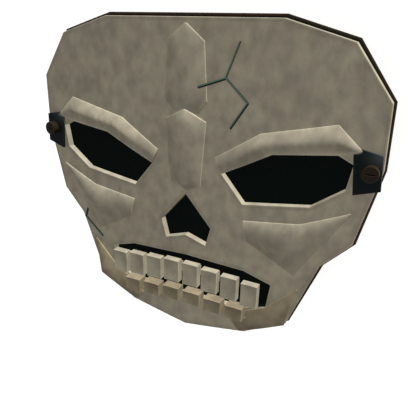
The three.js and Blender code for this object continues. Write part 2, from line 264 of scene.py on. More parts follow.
def painted_resin(name, dark, light, rubbed, painted_shade):
    """Matte sponge-stippled paint over resin."""
    material, tree, shader = new_material(name, Roughness=0.72, IOR=RESIN_IOR, Specular_IOR_Level=0.15)
    blotch = speckle(tree, BLOTCH_MM, 2.0, 0.45)
    grain = speckle(tree, GRAIN_MM, 2.0)
    mottle = blotch
    for pattern, share in ((speckle(tree, CLOUD_MM, 1.0), CLOUD_SHARE), (grain, GRAIN_SHARE)):
        centred = add(tree, "Math", {0: pattern, 1: share, 2: -share / 2}, operation="MULTIPLY_ADD")
        mottle = add(tree, "Math", {0: mottle, 1: centred.outputs[0]}, operation="ADD").outputs[0]
    stippled = add(tree, "MapRange", {"Value": mottle, "From Min": 0.3, "From Max": 0.7}).outputs[0]
    drift = add(tree, "MapRange", {"Value": speckle(tree, TINT_MM, 1.0), "From Min": 0.35, "From Max": 0.65})
    patchy = add(tree, "MapRange", {"Value": grain, "From Min": 0.3, "From Max": 0.55})
    bare = add(tree, "Math", {0: carried(tree, "rub"), 1: patchy.outputs[0]}, operation="MULTIPLY")
    paint = mixed(tree, stippled, dark, light)
    paint = mixed(tree, drift.outputs[0], paint, GREENISH, "MULTIPLY")
    # painted shade, in the last colour given, where the mesh carries it
    paint = mixed(tree, carried(tree, "painted_shade"), paint, painted_shade)
    # black painted shade in the corner of the mouth
    paint = mixed(tree, carried(tree, "black_shade"), paint, SHADE_BLACK)
    paint = mixed(tree, bare.outputs[0], paint, rubbed)
    tree.links.new(paint, shader.inputs["Base Color"])
    rough = add(tree, "MapRange", {"Value": blotch, "To Min": 0.62, "To Max": 0.82})
    tree.links.new(rough.outputs[0], shader.inputs["Roughness"])
    bumped(tree, shader, grain, 0.12, 0.03)
    return material


# the last colour of each paint is its painted shade
bone_paint = painted_resin("bone_paint_on_cast_resin", "#6d665a", "#7f7868", "#999180", "#554f42")
brown_paint = painted_resin("brown_stain_on_cast_resin", "#595040", "#6d6352", "#857962", "#3b3327")
print("painted resins:", bone_paint.name, brown_paint.name)

# %% [markdown]
# ## Black board and black cloth
# The plate behind the shell is hard fibreboard, sprayed matte black. The eyes are closed by scrim, a
# thin open cloth that the wearer can see through from close by, and that looks black from outside.
# Its weave is two sets of threads at right angles, drawn here as two wave patterns.

# %% Fibreboard and scrim
BOARD_FIBRE_MM = Vector((0.5, 3.0, 3.0))
THREAD_MM = 0.8

black_board, tree, shader = new_material("black_sprayed_fibreboard", Roughness=0.9, Specular_IOR_Level=0.05)
fibre = speckle(tree, BOARD_FIBRE_MM, 3.0)
tree.links.new(mixed(tree, fibre, "#040706", "#090e0c"), shader.inputs["Base Color"])
bumped(tree, shader, fibre, 0.2, 0.1)

scrim_cloth, tree, shader = new_material("black_cotton_scrim", Roughness=0.95, Specular_IOR_Level=0.05)
place = add(tree, "TexCoord", {}).outputs["Object"]
waves_per_m = math.pi / (THREAD_MM * MM) / 10  # a wave texture repeats every two pi over ten
warp, weft = (
    add(tree, "TexWave", {"Vector": place, "Scale": waves_per_m}, bands_direction=way).outputs["Fac"]
    for way in "XY"
)
weave = add(tree, "Math", {0: warp, 1: weft}, operation="MAXIMUM").outputs[0]
tree.links.new(mixed(tree, weave, "#030504", "#080d0b"), shader.inputs["Base Color"])
bumped(tree, shader, weave, 0.5, 0.2)
print("blacks:", black_board.name, scrim_cloth.name)

# %% [markdown]
# ## Rim leather
# The rim is vegetable-tanned leather, dyed dark brown and wetted to shape. Its grain is a net of
# fine cells about a millimetre across, with slow darker patches where the dye went in deeper.

# %% Leather
CELL_MM = 1.1
PATCH_MM = 14

leather, tree, shader = new_material("dark_brown_leather", Roughness=0.6, IOR=1.5, Specular_IOR_Level=0.15)
place = add(tree, "TexCoord", {}).outputs["Object"]
net = {"Vector": place, "Scale": 1 / (CELL_MM * MM)}
cells = add(tree, "TexVoronoi", net, feature="DISTANCE_TO_EDGE").outputs["Distance"]
creases = add(tree, "MapRange", {"Value": cells, "From Max": 0.25}).outputs[0]
dye = mixed(tree, speckle(tree, PATCH_MM, 4.0), "#130f0a", "#251e14")
dye = mixed(tree, carried(tree, "rub"), dye, "#352d21")
tree.links.new(dye, shader.inputs["Base Color"])
bumped(tree, shader, creases, 0.35, 0.12)
print("leather cells in mm:", CELL_MM)

# %% [markdown]
# ## Lug and screw steel
# The lugs are steel plate under black lacquer, which is smooth, dark blue-grey and a little glossy,
# with a painted highlight that turns it grey towards one upper corner. The screws are steel with a
# brown oxide skin, finely pitted, and their slot is painted black as shade. Neither lacquer nor oxide
# is bare metal, so both are dielectrics.

# %% Lacquered and browned steel
BRUSH_MM = Vector((6.0, 0.35, 6.0))
PITTING_MM = 0.7

lacquer, tree, shader = new_material(
    "black_lacquered_steel", Roughness=0.38, IOR=1.5, Specular_IOR_Level=0.08
)
brushed = speckle(tree, BRUSH_MM, 2.0)
tone = mixed(tree, brushed, "#080b0c", "#0e1214")
# rubbed edges, and the painted highlight at one corner of each lug
tone = mixed(tree, carried(tree, "rub"), tone, "#34393b")
tree.links.new(tone, shader.inputs["Base Color"])
gloss = add(tree, "MapRange", {"Value": brushed, "To Min": 0.3, "To Max": 0.5})
tree.links.new(gloss.outputs[0], shader.inputs["Roughness"])

browned, tree, shader = new_material("brown_oxide_on_steel", Roughness=0.5, IOR=1.5, Specular_IOR_Level=0.1)
pits = speckle(tree, PITTING_MM, 3.0)
tone = mixed(tree, pits, "#17120b", "#1e180f")
tone = mixed(tree, carried(tree, "rub"), tone, "#33291e")
# painted shade: the slot is painted black
tone = mixed(tree, carried(tree, "painted_shade"), tone, "#020202")
tree.links.new(tone, shader.inputs["Base Color"])
bumped(tree, shader, pits, 0.25, 0.05)
print("steels:", lacquer.name, browned.name)

# %% [markdown]
# ## Crack paint
# The cracks are lines of thick dark green paint, drawn with a liner brush. Paint that thick dries
# as a raised bead with a slight gloss. Its sides are painted black as shade, and a flat black strip
# below its lower side is a painted shadow, which makes the crack look deep.

# %% Green bead paint
BEAD_MM = 1.4

crack_paint, tree, shader = new_material("dark_green_bead_paint", Roughness=0.45, IOR=1.5)
tone = mixed(tree, speckle(tree, BEAD_MM, 2.0), "#2c4438", "#3d594a")
# painted shade on the bead's walls and painted shadow on the strip below it, in black
tone = mixed(tree, carried(tree, "painted_shade"), tone, SHADE_BLACK)
tree.links.new(tone, shader.inputs["Base Color"])
print("bead paint:", crack_paint.name)

# %% [markdown]
# ## Outlines
# Every piece of the face starts as a flat outline, as if cut from card: corner points, run round
# against the clock, with holes run with the clock. A few small functions step along an outline,
# move it in or out, mirror it, and say which spots lie inside it.

# %% Outline helpers
def both_halves(right):
    """A whole outline from its right half, which runs from the top down."""
    upward = right[::-1]
    return upward + [(-x, y) for x, y in right if x != 0]


def mirrored(outline):
    return [(-x, y) for x, y in reversed(outline)]


def stepped(outline, step):
    """The outline with points added, no further apart than step."""
    corners = np.array(outline, float)
    made = []
    for start, end in zip(corners, np.roll(corners, -1, axis=0)):
        count = max(1, math.ceil(np.linalg.norm(end - start) / step))
        made += [start + (end - start) * k / count for k in range(count)]
    return np.array(made)


def grown(outline, distance):
    """The outline moved to its right-hand side: outwards, or into a hole."""
    corners = np.array(outline, float)
    before = corners - np.roll(corners, 1, axis=0)
    before /= np.linalg.norm(before, axis=1)[:, None]
    after = np.roll(before, -1, axis=0)
    side = np.column_stack([before[:, 1] + after[:, 1], -before[:, 0] - after[:, 0]])
    side /= np.linalg.norm(side, axis=1)[:, None]
    reach = side[:, 0] * after[:, 1] - side[:, 1] * after[:, 0]
    return corners + side * (distance / reach)[:, None]


def inside(spots, outline):
    """Which of the spots lie inside the outline."""
    corners = np.array(outline, float)
    x, y = spots[:, 0, None], spots[:, 1, None]
    ends = np.roll(corners, -1, axis=0)
    crosses = (corners[:, 1] > y) != (ends[:, 1] > y)
    run = np.where(ends[:, 1] == corners[:, 1], 1, ends[:, 1] - corners[:, 1])
    meets = corners[:, 0] + (y - corners[:, 1]) * (ends[:, 0] - corners[:, 0]) / run
    return (crosses & (x < meets)).sum(axis=1) % 2 == 1


def edge_distance(spots, outlines):
    """Distance of each spot from the nearest edge of the outlines."""
    nearest = np.full(len(spots), np.inf)
    for outline in outlines:
        corners = np.array(outline, float)
        for start, end in zip(corners, np.roll(corners, -1, axis=0)):
            run = end - start
            share = np.clip((spots - start) @ run / (run @ run), 0, 1)
            nearest = np.minimum(nearest, np.linalg.norm(spots - start - share[:, None] * run, axis=1))
    return nearest


unit_square = [(0, 0), (1, 0), (1, 1), (0, 1)]
print("a square grown by a tenth:", grown(unit_square, 0.1).round(3).tolist())

# %% [markdown]
# ## Flat regions
# Blender's own triangulation fills an outline with triangles and keeps every edge that it is given.
# Fed with a grid of spots as well, it makes an even sheet that can be bent into relief. Fed with
# two outlines at once, it shows what is left of the one when the other is cut away.

# %% Triangulated sheets
TOLERANCE = 1e-6
FULL = 0  # the triangulation's own name for keeping every triangle
SLIVER = 1e-3  # square millimetres
CLEAR_OF_EDGE = 0.6  # share of the spacing that a grid spot keeps from the edges


def triangulated(outlines, spots=()):
    """Points, triangles, and for each triangle a spot well inside the patch that it belongs to."""
    points = np.vstack([*outlines, *[spots] * (len(spots) > 0)])
    edges, first = [], 0
    for outline in outlines:
        count = len(outline)
        edges += [(first + i, first + (i + 1) % count) for i in range(count)]
        first += count
    made = delaunay_2d_cdt([Vector(p) for p in points], edges, [], FULL, TOLERANCE)
    walls = {frozenset(edge) for edge, source in zip(made[1], made[4]) if source}
    patch = list(range(len(made[2])))

    def head(i):
        while patch[i] != i:
            patch[i] = patch[patch[i]]
            i = patch[i]
        return i

    met = {}
    for i, corners in enumerate(made[2]):
        for edge in map(frozenset, zip(corners, corners[1:] + corners[:1])):
            if edge not in walls:
                patch[head(i)] = head(met.setdefault(edge, i))
    points, triangles = np.array([tuple(p) for p in made[0]]), np.array(made[2])
    a, b, c = points[triangles].transpose(1, 0, 2)
    area = np.abs((b - a)[:, 0] * (c - a)[:, 1] - (b - a)[:, 1] * (c - a)[:, 0]) / 2
    heads = np.array([head(i) for i in range(len(triangles))])
    largest = {}
    for i in np.argsort(area):
        largest[heads[i]] = i
    chosen = np.array([largest[h] for h in heads])
    middles = points[triangles].mean(axis=1)[chosen]
    middles[area[chosen] < SLIVER] = np.inf  # a sliver outside a straight edge is no patch
    return points, triangles, middles


def sheet(outlines, spacing):
    """An even sheet inside the first outline and outside the others."""
    corners = np.array(outlines[0])
    low, high = corners.min(axis=0), corners.max(axis=0)
    rows = np.arange(low[1], high[1], spacing * math.sqrt(0.75))
    grid = [
        (x + (k % 2) * spacing / 2, y)
        for k, y in enumerate(rows)
        for x in np.arange(low[0], high[0], spacing)
    ]
    spots = np.array(grid)
    clear = inside(spots, outlines[0]) & (edge_distance(spots, outlines) > CLEAR_OF_EDGE * spacing)
    for hole in outlines[1:]:
        clear &= ~inside(spots, hole)
    points, triangles, middles = triangulated(outlines, spots[clear])
    kept = inside(middles, outlines[0])
    for hole in outlines[1:]:
        kept &= ~inside(middles, hole)
    return points, triangles[kept]


def region(outlines, keep):
    """The outline of a flat region. keep takes, for each outline, what lies inside it."""
    points, triangles, middles = triangulated([np.array(outline, float) for outline in outlines])
    kept = triangles[keep(*[inside(middles, outline) for outline in outlines])]
    directed = {(a, b) for t in kept.tolist() for a, b in zip(t, t[1:] + t[:1])}
    following = {a: b for a, b in directed if (b, a) not in directed}
    walk = [min(following)]
    while following[walk[-1]] != walk[0]:
        walk.append(following[walk[-1]])
    return [tuple(points[i]) for i in walk]


def cut_away(outline, other):
    """The outline of what is left of one region when another is cut away from it."""
    return region([outline, other], lambda one, two: one & ~two)


notched = cut_away(unit_square, [(0.5, 0.5), (2, 0.5), (2, 2), (0.5, 2)])
print("corners of a notched square:", len(notched))

# %% [markdown]
# ## Slabs
# Cast and cut pieces share one make: a top sheet that may be bent, an edge that is rounded over, a
# wall, and a plain underside. A slab is built from those four, in that order. It brings its own
# normals: on the top those of the bent sheet, round the edge a turn from there to the wall, and on
# the wall those of the straight cut. So edges look rounded and cuts look crisp, with few faces. Each
# point also remembers how far it lies from the edge, for rubbing and painted shade. A bevel modifier
# could round the edge too, but it goes wrong on the many small triangles of a bent sheet.

# %% Slab builder
ROUND_STEPS = 3
SMOOTH_TURN = 0.92  # cosine of the turn up to which a wall runs on smoothly round a corner
RUB_REACH = 0.45  # mm from the edge to which paint rubs off


def unit(vectors):
    return vectors / np.linalg.norm(vectors, axis=-1, keepdims=True)


def facing(height):
    """The normals of a bent sheet, as a function of x and y."""
    step = 0.01

    def normals(x, y):
        along = (height(x - step, y) - height(x + step, y)) / (2 * step)
        across = (height(x, y - step) - height(x, y + step)) / (2 * step)
        return unit(np.column_stack([along, across, np.ones(len(x))]))

    return normals


def wall_normals(loop):
    """Outward normals at both ends of each edge of a loop."""
    run = unit(np.roll(loop, -1, axis=0) - loop)
    out = np.column_stack([run[:, 1], -run[:, 0], np.zeros(len(run))])
    before = np.roll(out, 1, axis=0)
    smooth = (out * before).sum(axis=1, keepdims=True) > SMOOTH_TURN
    start = np.where(smooth, unit(out + before), out)
    after = np.roll(out, -1, axis=0)
    smooth = (out * after).sum(axis=1, keepdims=True) > SMOOTH_TURN
    return start, np.where(smooth, unit(out + after), out)


def edge_profile(rounding, border):
    """Steps from the sheet to the wall: how far in, how far down, how far turned, how much rubbed."""
    steps = [(rounding, 0, 0, rounding)] if border else []
    for turn in np.linspace(0, math.pi / 2, ROUND_STEPS + 1)[1:]:
        steps.append((rounding * (1 - math.sin(turn)), rounding * (1 - math.cos(turn)), turn, 0))
    return [*steps, (0, rounding + RUB_REACH, math.pi / 2, RUB_REACH), (0, None, math.pi / 2, RUB_REACH)]


def slab(outline, top, bottom, holes=(), rounding=0.35, spacing=1.2, border=0, polish=None):
    """Points, faces, corner normals and edge distances of a slab.

    top and bottom give z at x and y. polish gives the normals of the top, if not those of its shape.
    A border is a flat row of faces along the edges, for lines of painted shade.
    """
    polish = polish or facing(top)
    loops = [stepped(loop, spacing) for loop in (outline, *holes)]
    walls = [wall_normals(loop) for loop in loops]
    flat, triangles = sheet([grown(loop, -rounding - border) for loop in loops], spacing)
    points = [np.column_stack([flat, top(flat[:, 0], flat[:, 1])])]
    distance = [edge_distance(flat, [outline, *holes])]
    faces = triangles.tolist()
    normals = [polish(flat[:, 0], flat[:, 1])[triangles].reshape(-1, 3)]
    starts = np.cumsum([0] + [len(loop) for loop in loops])[:-1].tolist()
    total, tilt = len(flat), 0.0
    for inset, drop, turn, far in edge_profile(rounding, border):
        for i, loop in enumerate(loops):
            ring = grown(loop, -inset)
            x, y = ring.T
            floor = bottom(x, y)
            level = floor
            if drop is not None:
                halfway = (top(x, y) - rounding + floor) / 2
                level = np.maximum(top(x, y) - drop, halfway)
            points.append(np.column_stack([ring, level]))
            distance.append(np.full(len(ring), far))
            here = np.arange(len(ring))
            there = np.roll(here, -1)
            quads = [total + here, total + there, starts[i] + there, starts[i] + here]
            faces += np.column_stack(quads).tolist()
            up, (start, end) = polish(x, y), walls[i]
            corners = [
                math.cos(turn) * up + math.sin(turn) * start,
                math.cos(turn) * up[there] + math.sin(turn) * end,
                math.cos(tilt) * up[there] + math.sin(tilt) * end,
                math.cos(tilt) * up + math.sin(tilt) * start,
            ]
            normals.append(unit(np.stack(corners, axis=1)).reshape(-1, 3))
            starts[i] = total
            total += len(ring)
        tilt = turn
    under, triangles = sheet(loops, 2 * spacing)
    below = under[sum(len(loop) for loop in loops) :]
    points.append(np.column_stack([below, bottom(below[:, 0], below[:, 1])]))
    distance.append(np.full(len(below), RUB_REACH))
    rims = [first + np.arange(len(loop)) for first, loop in zip(starts, loops)]
    place = np.concatenate([*rims, total + np.arange(len(below))])
    faces += place[triangles[:, ::-1]].tolist()
    normals.append(-facing(bottom)(under[:, 0], under[:, 1])[triangles[:, ::-1]].reshape(-1, 3))
    return np.vstack(points), faces, np.vstack(normals), np.concatenate(distance)


print("rings from the sheet to the underside:", len(edge_profile(rounding=0.35, border=0)))

# %% [markdown]
# ## Pieces
# A piece of the mask is one or more slabs in one mesh, in its place in the frame. It stands for a
# node of the frame, so it names that node, its material and the body that it rides on.

# %% Piece builder
SHARP_EDGE = math.radians(50)


def piece(name, parts, material, stands_for, rub=0.35, painted_shade=None, highlight=None, black_shade=None):
    """Makes an object from slabs, in its place in the frame, and has it stand for a node."""
    points = np.vstack([part[0] for part in parts])
    faces, first = [], 0
    for part in parts:
        faces += [[first + i for i in face] for face in part[1]]
        first += len(part[0])
    distance = np.concatenate([part[3] for part in parts])
    mesh = bpy.data.meshes.new(name)
    mesh.from_pydata((points * MM + np.array(face_zero)).tolist(), [], faces)
    mesh.materials.append(material)
    attributes = {"rub": rub * np.clip(1 - distance / RUB_REACH, 0, 1)}
    # a painted highlight adds to the rubbed edges
    if highlight:
        attributes["rub"] = np.maximum(attributes["rub"], highlight(points))
    if painted_shade:
        attributes["painted_shade"] = painted_shade(distance, points)
    if black_shade:
        attributes["black_shade"] = black_shade(points)
    for title, values in attributes.items():
        mesh.attributes.new(title, "FLOAT", "POINT").data.foreach_set("value", values.astype(np.float32))
    mesh.shade_smooth()
    if parts[0][2] is None:
        mesh.set_sharp_from_angle(angle=SHARP_EDGE)
    else:
        mesh.normals_split_custom_set(np.vstack([part[2] for part in parts]).tolist())
    made = bpy.data.objects.new(name, mesh)
    bpy.context.scene.collection.objects.link(made)
    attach(made, "root")
    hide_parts(stands_for)
    print(name, "faces:", len(faces))
    return made


def follows_bow(level):
    """A level of the bowed face."""
    return lambda x, y: bow(x) + level


print("depth of the front at the temple, in mm:", follows_bow(0)(HALF_WIDTH, 0))

# %% [markdown]
# ## The shell
# The front is one casting, 4 mm thick, with two eyes, a nose and a mouth cut through. A hand-made
# mould is never quite even, so the sheet gets a wave of a few hundredths of a millimetre: the low
# light shows it as soft clouds. A thin line of painted shade runs beside the holes and along the
# outline. The right-hand corner of the mouth is painted black as shade, and its ends a little.

# %% Shell
SHELL_THICKNESS = 4
WAVE_MM, WAVE_HEIGHT = 9.0, 0.02
SHADE_LINE, SHADE_WIDTH, SHADE_SHARE = 1.2, 0.5, 0.35  # how far from the edge, how wide and how strong
SHELL_ROUND = 0.3
MOUTH_SIDE, MOUTH_FLOOR = 57, -69  # just past the ends of the mouth and its lower lip
CORNER_SIDE, CORNER_TOP = 43, -62  # where the painted shade in the corner of the mouth starts
END_SIDE, END_TOP, END_SHADE = 52, -45, 0.45  # where the ends of the mouth start, and their painted shade

OUTLINE = [
    (51.8, 96.0), (85.6, 86.5), (105.0, 60.6), (106.0, 28.0), (96.8, -13.4),
    (81.8, -29.0), (66.6, -70.6), (41.0, -84.5), (0, -91.5),
]
EYE = [(22.3, 16.1), (35.9, -0.1), (72.8, 4.6), (89.5, 16.4), (91.7, 29.9), (79.5, 36.0), (52.0, 33.4)]
NOSE = [(0, 0), (16.6, -19.2), (13.5, -30.9), (0, -26.5)]
MOUTH = [(0, -40.2), (38.6, -42.0), (55.5, -47.4), (53.5, -62.8), (36.0, -68.2), (0, -68.5)]


def wave(x, y):
    """The slight unevenness of the casting."""
    spots = zip(np.ravel(x) / WAVE_MM, np.ravel(y) / WAVE_MM)
    return WAVE_HEIGHT * np.array([noise.noise(Vector((u, v, 0))) for u, v in spots])


def cast_front(x, y):
    return bow(x) + wave(x, y)


def beside_holes(distance, points):
    """Painted shade in a thin line beside each edge of the front."""
    on_front = points[:, 2] > bow(points[:, 0]) - SHELL_ROUND
    return SHADE_SHARE * np.exp(-(((distance - SHADE_LINE) / SHADE_WIDTH) ** 2)) * on_front


def mouth_walls(points):
    """Black painted shade deep in the right-hand corner of the mouth, and a little on its ends."""
    x, y, z = points.T
    wall = (z < bow(x) - SHELL_ROUND / 2) & (abs(x) < MOUTH_SIDE) & (y > MOUTH_FLOOR)
    corner = wall & (x > CORNER_SIDE) & (y < CORNER_TOP)
    ends = wall & (abs(x) > END_SIDE) & (y < END_TOP)
    return np.where(corner, 1.0, END_SHADE * ends)


shell_outline = both_halves(OUTLINE)
eye_outlines = {"left": mirrored(EYE), "right": EYE}
holes = [*eye_outlines.values(), both_halves(NOSE), both_halves(MOUTH)]
clockwise = [hole[::-1] for hole in holes]
shell_slab = slab(
    shell_outline, cast_front, follows_bow(-SHELL_THICKNESS), clockwise,
    rounding=SHELL_ROUND, spacing=1.8, border=SHADE_LINE - SHELL_ROUND,
)
piece(
    "shell_front", [shell_slab], bone_paint, "shell",
    rub=0.15, painted_shade=beside_holes, black_shade=mouth_walls,
)

# %% [markdown]
# ## Plate and scrims
# The black plate sits 0.3 mm behind the shell in a seat in the rim. It shows in the nose and the
# mouth. Its eye windows are a little larger than the eye holes, and each holds a stretched piece of
# scrim that sags a trifle in the middle.

# %% Plate and scrims
GAP = 0.3
PLATE_FRONT = -SHELL_THICKNESS - GAP
PLATE_BACK = PLATE_FRONT - 2
LEDGES = [2.0, 2.0, 1.4, 1.1, 1.4, 1.4, 1.0, 1.0, 1.0]  # how far the rim shows past each outline corner
BAND_EDGE = 1.2
WINDOW_MARGIN = 3
SCRIM_FRONT = PLATE_FRONT - 0.4
SCRIM_THICKNESS = 0.5
SCRIM_SAG, SAG_FOCUS = 0.35, 2  # depth in the middle, and how fast it fades outwards

ledge_at = dict(zip([y for _, y in OUTLINE], LEDGES))
band_outline = grown(shell_outline, np.array([ledge_at[y] for _, y in shell_outline]))
windows = [grown(eye, WINDOW_MARGIN)[::-1] for eye in eye_outlines.values()]
plate_slab = slab(
    grown(band_outline, -BAND_EDGE - GAP), follows_bow(PLATE_FRONT), follows_bow(PLATE_BACK), windows,
    rounding=0.2, spacing=2.5,
)
piece("backing_plate", [plate_slab], black_board, "backing")

for side, eye in eye_outlines.items():
    cut = grown(eye, WINDOW_MARGIN - GAP)
    middle, reach = cut.mean(axis=0), np.ptp(cut, axis=0) / 2

    def sagging(x, y, middle=middle, reach=reach):
        spread = ((x - middle[0]) / reach[0]) ** 2 + ((y - middle[1]) / reach[1]) ** 2
        return bow(x) + SCRIM_FRONT - SCRIM_SAG * np.exp(-SAG_FOCUS * spread)

    def rear_of_cloth(x, y, front=sagging):
        return front(x, y) - SCRIM_THICKNESS

    cloth = slab(cut, sagging, rear_of_cloth, rounding=0.15, spacing=1.5)
    scrim = piece("scrim_" + side, [cloth], scrim_cloth, "eye_scrim_" + side, rub=0)

# %% [markdown]
# ## Rim band
# A strip of leather runs round the plate and leans in a little towards the wearer's face. It is a
# section carried round the outline: up the outer wall, over the edge, down the seat of the plate
# and back down the inside. The rear rim is flat, and the front edge follows the bow, so each point
# of the section says how much of the bow it takes.

# %% Rim band
BACK_DEPTH = 42
RIM_TAPER = 4.5
RIM_THICKNESS = 2.4
BAND_SHELF = 2.8
BAND_ROUND, SEAT_ROUND = 0.35, 0.15  # of the outer edge, and of the edge at the plate
HALF_TURN = 0.3  # share of a rounding that is left halfway round it
BAND_STEP = 2.0
WALL_RINGS = 9
EDGE_RINGS = 4  # the rings that are rubbed, from the top of the wall on
FAR_FROM_EDGE, NEAR_EDGE = 9.0, 0.15

shelf = PLATE_BACK - GAP
wall_top = PLATE_FRONT - BAND_ROUND
outer_wall = [
    (-RIM_TAPER * (1 - t), -BACK_DEPTH + BAND_ROUND + t * (BACK_DEPTH - BAND_ROUND + wall_top), t)
    for t in np.linspace(0, 1, WALL_RINGS)
]
SECTION = [
    *outer_wall,
    (-HALF_TURN * BAND_ROUND, PLATE_FRONT - HALF_TURN * BAND_ROUND, 1),
    (-BAND_ROUND, PLATE_FRONT, 1),
    (-BAND_EDGE + SEAT_ROUND, PLATE_FRONT, 1),
    (-BAND_EDGE, PLATE_FRONT - SEAT_ROUND, 1),
    (-BAND_EDGE, shelf, 1),
    (-BAND_SHELF, shelf, 1),
    (-RIM_TAPER - RIM_THICKNESS, -BACK_DEPTH + BAND_ROUND, 0),
    (-RIM_TAPER - RIM_THICKNESS + BAND_ROUND, -BACK_DEPTH, 0),
    (-RIM_TAPER - BAND_ROUND, -BACK_DEPTH, 0),
]
track = stepped(band_outline, BAND_STEP)
rings = []
for inset, level, share in SECTION:
    ring = grown(track, inset)
    rings.append(np.column_stack([ring, level + share * bow(ring[:, 0])]))
count = len(track)
band_faces = [
    [i * count + j, i * count + (j + 1) % count, k * count + (j + 1) % count, k * count + j]
    for i, k in zip(range(len(rings)), [*range(1, len(rings)), 0])
    for j in range(count)
]
ring_distance = np.full(len(rings), FAR_FROM_EDGE)
ring_distance[WALL_RINGS - 1 : WALL_RINGS - 1 + EDGE_RINGS] = NEAR_EDGE
band_distance = np.repeat(ring_distance, count)
piece(
    "rim_leather", [(np.vstack(rings), band_faces, None, band_distance)], leather, "rim_band"
)

# %% [markdown]
# ## Relief
# Brows, cheekbones, jaw plates and the two ridges are castings of their own, glued to the front.
# Each is known by a few sections: upper edge, crest and lower edge, each with its place and its
# height above the shell. Between the sections the maker rubs the clay down by hand, so that it runs
# like a skin stretched over the given points: smooth, with a soft crease. Thick paint evens out the
# slopes below it. So the normals at each given point are the mean of the flat facets that meet
# there, a little evened, and they are carried like the heights. The outlines stay straight, as cut.

# %% Relief helpers
GLUED = -0.25  # the relief is bedded this deep, so that no gap shows
CAST_ROUND, CAST_STEP = 0.25, 0.9  # rounding and point spacing of the small castings
PAINT_EVENS = 0.85  # share of the slopes that still shows through the paint


def stretched_skin(places, values):
    """A value between known ones, as a skin stretched over them would take."""
    count = len(places)

    def apart(spots):
        return np.linalg.norm(spots[:, None] - places[None], axis=2)

    ones = np.ones((count, 1))
    system = np.block([[apart(places), ones], [ones.T, np.zeros((1, 1))]])
    solved = np.linalg.solve(system, np.append(values, 0))
    return lambda x, y: apart(np.column_stack([x, y])) @ solved[:count] + solved[count]


def section_outline(rows):
    """The outline round a table of sections, against the clock."""
    first = [row[-1][:2] for row in rows]
    end = [point[:2] for point in rows[-1][-2:0:-1]]
    last = [row[0][:2] for row in rows[::-1]]
    start = [point[:2] for point in rows[0][1:-1]]
    return [*first, *end, *last, *start]


def flipped(rows):
    """The same sections on the other side of the face."""
    return [[(-x, y, height) for x, y, height in row] for row in rows[::-1]]


def filled(sections):
    """All points of a table of sections, with three more sections between each two."""
    between = [sections[:-1] + (sections[1:] - sections[:-1]) * share for share in (0.25, 0.5, 0.75)]
    return np.concatenate([sections, *between]).reshape(-1, sections.shape[2])


def meeting_slopes(sections):
    """How far the surface leans right and up at each point: the mean of the facets that meet there."""
    corners = sections.copy()
    corners[..., 2] += bow(sections[..., 0])
    total = np.zeros(sections.shape)
    for i in range(len(sections) - 1):
        for j in range(sections.shape[1] - 1):
            one_diagonal = corners[i + 1, j + 1] - corners[i, j]
            other_diagonal = corners[i, j + 1] - corners[i + 1, j]
            facet = np.cross(one_diagonal, other_diagonal)
            total[i : i + 2, j : j + 2] += facet * np.sign(facet[2])
    return PAINT_EVENS * total[..., :2] / total[..., 2:]


def relief(rows, outline=None):
    """A slab with a smooth top through the sections of a table, and with normals as soft as its top."""
    sections = np.array(rows, float)
    known = filled(np.concatenate([sections, meeting_slopes(sections)], axis=2))
    height, right, up = (stretched_skin(known[:, :2], known[:, k]) for k in (2, 3, 4))
    return slab(
        outline or section_outline(rows),
        lambda x, y: bow(x) + height(x, y),
        follows_bow(GLUED),
        rounding=CAST_ROUND,
        spacing=CAST_STEP,
        polish=lambda x, y: unit(np.column_stack([right(x, y), up(x, y), np.ones(len(x))])),
    )


halfway = stretched_skin(np.array([(0.0, 0.0), (2.0, 0.0)]), [0.0, 1.0])(1.0, 0.0)
print("a skin from 0 to 1, halfway:", halfway.round(3).tolist())

# %% [markdown]
# ## Brows and cheekbones
# The brows hang over the upper edge of the eyes and the cheekbones run out to a point towards the
# temple. Sections go from the middle of the face outwards, as seen on the right. Past its crest a brow
# drops to a foot and then runs level to its lower edge, so its sections have a fourth point.

# %% Brows and cheekbones
BROW = [
    [(18.5, 24.4, 0.25), (20.0, 20.8, 0.9), (20.9, 19.0, 0.55), (22.6, 15.6, 0.6)],
    [(31.1, 32.5, 0.25), (33.3, 28.8, 3.8), (34.7, 26.9, 2.8), (37.4, 23.4, 2.9)],
    [(43.6, 40.6, 0.25), (46.6, 36.8, 5.6), (48.5, 34.9, 4.2), (52.1, 31.3, 4.4)],
    [(63.0, 44.8, 0.2), (65.0, 39.6, 4.9), (66.2, 37.2, 3.0), (68.3, 32.8, 3.2)],
    [(82.4, 49.0, 0.15), (83.3, 42.4, 4.2), (83.8, 39.6, 1.8), (84.6, 34.3, 2.0)],
    [(94.9, 37.5, 0.25), (94.6, 36.9, 0.5), (94.4, 36.75, 0.5), (94.1, 36.5, 0.6)],
]
CHEEKBONE = [
    [(36.6, -9.9, 0.25), (37.5, -14.0, 2.2), (39.6, -22.6, 0.4)],
    [(52.5, -8.0, 0.25), (52.6, -14.1, 3.7), (53.8, -30.2, 0.4)],
    [(68.5, -6.1, 0.25), (67.8, -14.2, 5.2), (67.9, -37.8, 0.4)],
    [(81.3, -0.8, 0.25), (80.8, -5.1, 3.2), (80.7, -17.2, 0.4)],
    [(94.2, 4.6, 0.25), (93.8, 4.0, 0.7), (93.5, 3.4, 0.4)],
]
HALVES = {"left": flipped, "right": list}

brow_outlines = {}
for side, placed in HALVES.items():
    brow, cheekbone = placed(BROW), placed(CHEEKBONE)
    brow_outlines[side] = section_outline(brow)
    brow_slab = relief(brow)
    piece("brow_relief_" + side, [brow_slab], bone_paint, "brow_" + side)
    cheekbone_slab = relief(cheekbone)
    piece("cheekbone_relief_" + side, [cheekbone_slab], bone_paint, "cheekbone_" + side)

# %% [markdown]
# ## Ridges
# Two ridges stand on the centre line, each with sections from its right edge over the crest to its
# left. The nose ridge laps the lower end of the forehead ridge, so the forehead ridge is cut away
# round it.

